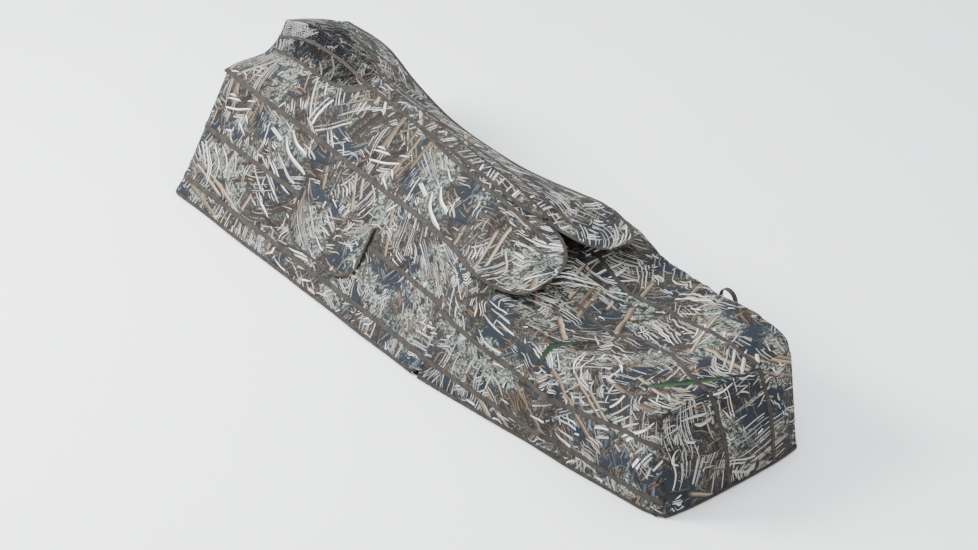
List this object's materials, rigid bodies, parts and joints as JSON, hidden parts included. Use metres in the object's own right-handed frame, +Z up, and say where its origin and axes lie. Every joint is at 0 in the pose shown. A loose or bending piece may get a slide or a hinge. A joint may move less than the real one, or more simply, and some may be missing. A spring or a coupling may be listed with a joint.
{
  "type": "layout field blind",
  "caption": "Low lay-down hunting blind in reed camouflage: hinged tube frame, two lift-up doors with face mesh, reclining backrest and covered foot section.",
  "frame": {"origin": "on the ground, under the middle of the blind's outer box", "axes": "+Z up, +Y to the head end, -X to the lying person's right"},
  "size_m": [0.8498, 2.197, 0.5637],
  "materials": {
    "camo_fabric": "matte printed reed and grass camouflage",
    "face_mesh": "open woven mesh",
    "floor_fabric": "black coated waterproof cloth",
    "webbing": "brown woven webbing",
    "pad_fabric": "black nylon over foam",
    "frame_tube": "black coated tube",
    "steel": "zinc plated",
    "plastic": "black moulded"
  },
  "bodies": {
    "head_base": {"head_base_frame": "frame_tube", "backrest_cross_tube": "frame_tube", "head_floor": "floor_fabric", "seat_pad": "pad_fabric", "head_side_right": "camo_fabric", "head_side_left": "camo_fabric", "head_end_panel": "camo_fabric", "fold_bracket_head_right": "steel", "fold_bracket_head_left": "steel", "fold_pin_right": "steel", "fold_pin_left": "steel", "front_leg_bracket_right": "steel", "front_leg_bracket_left": "steel", "rear_leg_bracket_right": "steel", "rear_leg_bracket_left": "steel"},
    "foot_base": {"foot_base_frame": "frame_tube", "foot_floor": "floor_fabric", "boot_mat": "pad_fabric", "fold_bracket_foot_right": "steel", "fold_bracket_foot_left": "steel", "foot_arch_bracket_right": "steel", "foot_arch_bracket_left": "steel", "foot_side_right": "camo_fabric", "foot_side_left": "camo_fabric", "foot_top": "camo_fabric", "foot_end_panel": "camo_fabric", "foot_handle": "webbing"},
    "foot_hoop": {"foot_arch": "frame_tube"},
    "front_legs": {"front_leg_right": "frame_tube", "front_leg_left": "frame_tube"},
    "rear_legs": {"rear_leg_right": "frame_tube", "rear_leg_left": "frame_tube"},
    "cockpit": {"side_rail_right": "frame_tube", "side_rail_left": "frame_tube", "hip_bow": "frame_tube", "head_crossbar": "frame_tube", "rail_cap_right": "plastic", "rail_cap_left": "plastic", "door_spring_right": "steel", "door_spring_left": "steel"},
    "door_right": {"door_frame_right": "frame_tube", "door_cover_right": "camo_fabric", "door_end_right": "camo_fabric", "face_mesh_right": "face_mesh", "door_hinge_front_right": "plastic", "door_hinge_rear_right": "plastic"},
    "door_left": {"door_frame_left": "frame_tube", "door_cover_left": "camo_fabric", "door_end_left": "camo_fabric", "face_mesh_left": "face_mesh", "door_hinge_front_left": "plastic", "door_hinge_rear_left": "plastic"},
    "backrest_mount": {"backrest_pivot_bar": "steel"},
    "backrest": {"backrest_frame": "frame_tube", "back_pad": "pad_fabric", "head_pillow": "pad_fabric"},
    "flap_right": {"flag_port_flap_right": "camo_fabric"},
    "flap_left": {"flag_port_flap_left": "camo_fabric"}
  },
  "joints": [
    {"name": "base_fold", "type": "hinge", "parent": "head_base", "child": "foot_base", "pos_m": [0, -0.16, 0.16], "axis": [-1, 0, 0], "range_deg": [0, 180], "deforming": ["head_side_right", "head_side_left", "head_end_panel", "foot_side_right", "foot_side_left", "foot_top", "foot_end_panel", "foot_handle", "door_end_right", "door_end_left"]},
    {"name": "foot_arch_fold", "type": "hinge", "parent": "foot_base", "child": "foot_hoop", "pos_m": [0, -0.985, 0.03], "axis": [-1, 0, 0], "range_deg": [0, 88]},
    {"name": "front_legs_swing", "type": "hinge", "parent": "head_base", "child": "front_legs", "pos_m": [0, -0.08, 0.05], "axis": [-1, 0, 0], "range_deg": [0, 49]},
    {"name": "rear_legs_swing", "type": "hinge", "parent": "head_base", "child": "rear_legs", "pos_m": [0, 0.6, 0.093], "axis": [-1, 0, 0], "range_deg": [0, 49]},
    {"name": "cockpit_level", "type": "hinge", "parent": "rear_legs", "child": "cockpit", "pos_m": [0, 0.855, 0.348], "axis": [-1, 0, 0], "range_deg": [-49, 0]},
    {"name": "door_right_hinge", "type": "hinge", "parent": "cockpit", "child": "door_right", "pos_m": [-0.19, 0, 0.33], "axis": [0, 1, 0], "range_deg": [-115, 0]},
    {"name": "door_left_hinge", "type": "hinge", "parent": "cockpit", "child": "door_left", "pos_m": [0.19, 0, 0.33], "axis": [0, -1, 0], "range_deg": [-115, 0]},
    {"name": "backrest_fold", "type": "hinge", "parent": "head_base", "child": "backrest_mount", "pos_m": [0, 0.36, 0.04], "axis": [-1, 0, 0], "range_deg": [0, 27.5]},
    {"name": "backrest_recline", "type": "hinge", "parent": "backrest_mount", "child": "backrest", "pos_m": [0, 0.36, 0.04], "axis": [1, 0, 0], "range_deg": [-8, 0]},
    {"name": "flap_right_hinge", "type": "hinge", "parent": "head_base", "child": "flap_right", "pos_m": [-0.26156, 0.2308, 0.25856], "axis": [0.018, -0.9991, -0.0396], "range_deg": [-95, 0]},
    {"name": "flap_left_hinge", "type": "hinge", "parent": "head_base", "child": "flap_left", "pos_m": [0.26156, 0.2308, 0.25856], "axis": [0.018, 0.9991, 0.0396], "range_deg": [-95, 0]}
  ],
  "couplings": [
    {"joint": "foot_arch_fold", "follows": "base_fold", "ratio": 0.488},
    {"joint": "front_legs_swing", "follows": "base_fold", "ratio": 0.272},
    {"joint": "rear_legs_swing", "follows": "base_fold", "ratio": 0.272},
    {"joint": "cockpit_level", "follows": "base_fold", "ratio": -0.272},
    {"joint": "backrest_fold", "follows": "base_fold", "ratio": 0.15}
  ]
}
